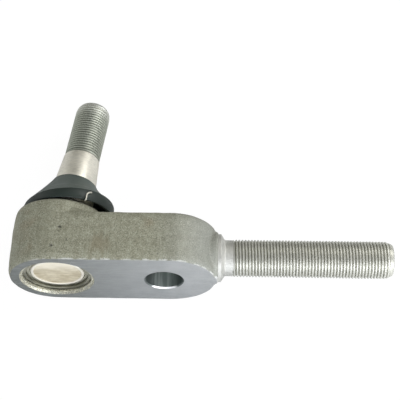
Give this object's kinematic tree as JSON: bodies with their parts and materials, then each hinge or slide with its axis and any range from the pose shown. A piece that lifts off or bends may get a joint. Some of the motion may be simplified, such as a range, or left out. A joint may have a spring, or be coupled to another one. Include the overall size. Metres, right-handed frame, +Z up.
{
  "type": "ball joint rod end",
  "caption": "Angled ball joint rod end: forged arm with a cross hole and an integral threaded shank, and a tapered, threaded ball stud under a rubber boot.",
  "frame": {"origin": "middle of the footprint on the surface that the forging lies on, at that surface's height", "axes": "+X along the threaded shank, away from the eye; +Y the way the ball stud points at mid travel; +Z up, across the arm's width"},
  "size_m": [0.2458, 0.1384, 0.0606],
  "materials": {
    "forged_steel": "as-forged scale on the sides, fine machined lines on the flat face, bore and threads",
    "ground_steel": "ground taper and ball, rolled thread",
    "seat_steel": "turned and hardened",
    "spring_steel": "phosphated spring steel",
    "cover_steel": "pressed sheet with a dull yellow passivation",
    "seal_rubber": "moulded rubber",
    "boot_rubber": "moulded rubber, slightly dusty",
    "lip_wire": "zinc-plated spring wire"
  },
  "bodies": {
    "rod_end": {"housing": "forged_steel", "upper_bearing_seat": "seat_steel", "lower_bearing_seat": "seat_steel", "preload_disc_spring": "spring_steel", "closing_cover": "cover_steel", "cover_seal_ring": "seal_rubber", "retaining_ring": "spring_steel", "boot_lip_wire": "lip_wire"},
    "boot": {"dust_boot": "boot_rubber"},
    "boot_neck": {"boot_neck_ring": "seat_steel"},
    "stud": {"ball_stud": "ground_steel"}
  },
  "joints": [
    {"name": "stud_swing", "type": "hinge", "parent": "rod_end", "child": "boot", "pos_m": [-0.09175, -0.04517, 0.0303], "axis": [0, 0, 1], "range_deg": [-13, 27], "deforming": ["dust_boot"]},
    {"name": "stud_tilt", "type": "hinge", "parent": "boot", "child": "boot_neck", "pos_m": [-0.09175, -0.04517, 0.0303], "axis": [0.9925, -0.1219, 0], "range_deg": [-4, 14]},
    {"name": "stud_spin", "type": "hinge", "parent": "boot_neck", "child": "stud", "pos_m": [-0.09175, -0.04517, 0.0303], "axis": [0.1214, 0.9888, -0.0872], "continuous": true}
  ]
}
